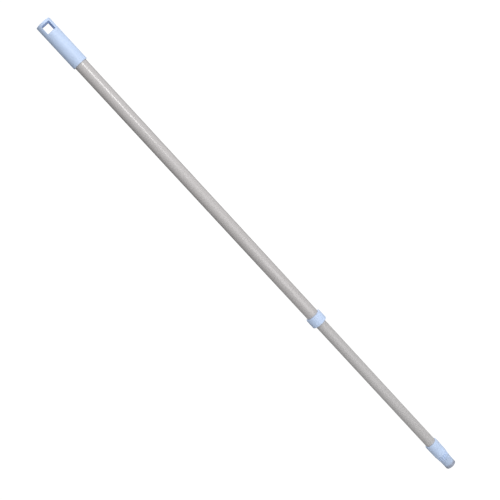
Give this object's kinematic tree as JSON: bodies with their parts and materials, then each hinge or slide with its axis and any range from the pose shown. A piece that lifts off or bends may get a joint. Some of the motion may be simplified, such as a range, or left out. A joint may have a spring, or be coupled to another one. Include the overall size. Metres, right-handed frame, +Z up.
{
  "type": "roller extension pole",
  "caption": "Telescopic extension pole for a paint roller, with a hang handle, a collar, a stepped push-fit tip and a twist lock inside the tubes.",
  "frame": {"origin": "centre of the hang hole in the handle, on the pole's axis; the pole hangs down from it", "axes": "+Z up along the pole, from the tip to the handle; +Y through the hang hole"},
  "size_m": [0.0278, 0.0278, 0.9955],
  "materials": {
    "outer_coating": "light warm grey coating on steel, semi-gloss",
    "inner_coating": "light grey coating on steel, satin with faint rub marks",
    "blue_plastic": "pale blue moulded plastic, satin",
    "white_plastic": "natural white moulded plastic, satin",
    "dark_plastic": "dark grey moulded plastic, satin",
    "zinc_steel": "zinc plated",
    "black_rubber": "matt black"
  },
  "bodies": {
    "outer_pole": {"outer_tube": "outer_coating", "hang_handle": "blue_plastic", "collar": "blue_plastic", "guide_bush": "white_plastic"},
    "lock_sleeve": {"expander": "white_plastic", "drag_ring": "black_rubber"},
    "lock_wedge": {"cone_nut": "dark_plastic", "nut_insert": "zinc_steel"},
    "inner_pole": {"inner_tube": "inner_coating", "tip": "blue_plastic", "lock_plug": "dark_plastic", "plug_pins": "zinc_steel", "lock_bolt": "zinc_steel", "head_washer": "zinc_steel", "lower_cone": "dark_plastic", "cone_washer": "zinc_steel", "jam_nut": "zinc_steel", "stop_washer": "zinc_steel", "stop_nut": "zinc_steel", "nylon_ring": "white_plastic"}
  },
  "joints": [
    {"name": "extension", "type": "slide", "parent": "outer_pole", "child": "lock_sleeve", "axis": [0, 0, -1], "range_m": [-0.289, 0.19]},
    {"name": "twist_lock", "type": "hinge", "parent": "lock_sleeve", "child": "inner_pole", "pos_m": [0, 0, -0.3693], "axis": [0, 0, 1], "range_deg": [-360, 0]},
    {"name": "wedge_travel", "type": "slide", "parent": "lock_sleeve", "child": "lock_wedge", "axis": [0, 0, -1], "range_m": [-0.001, 0]}
  ],
  "couplings": [
    {"joint": "wedge_travel", "follows": "twist_lock", "m_per_rad": 0.00015915}
  ]
}
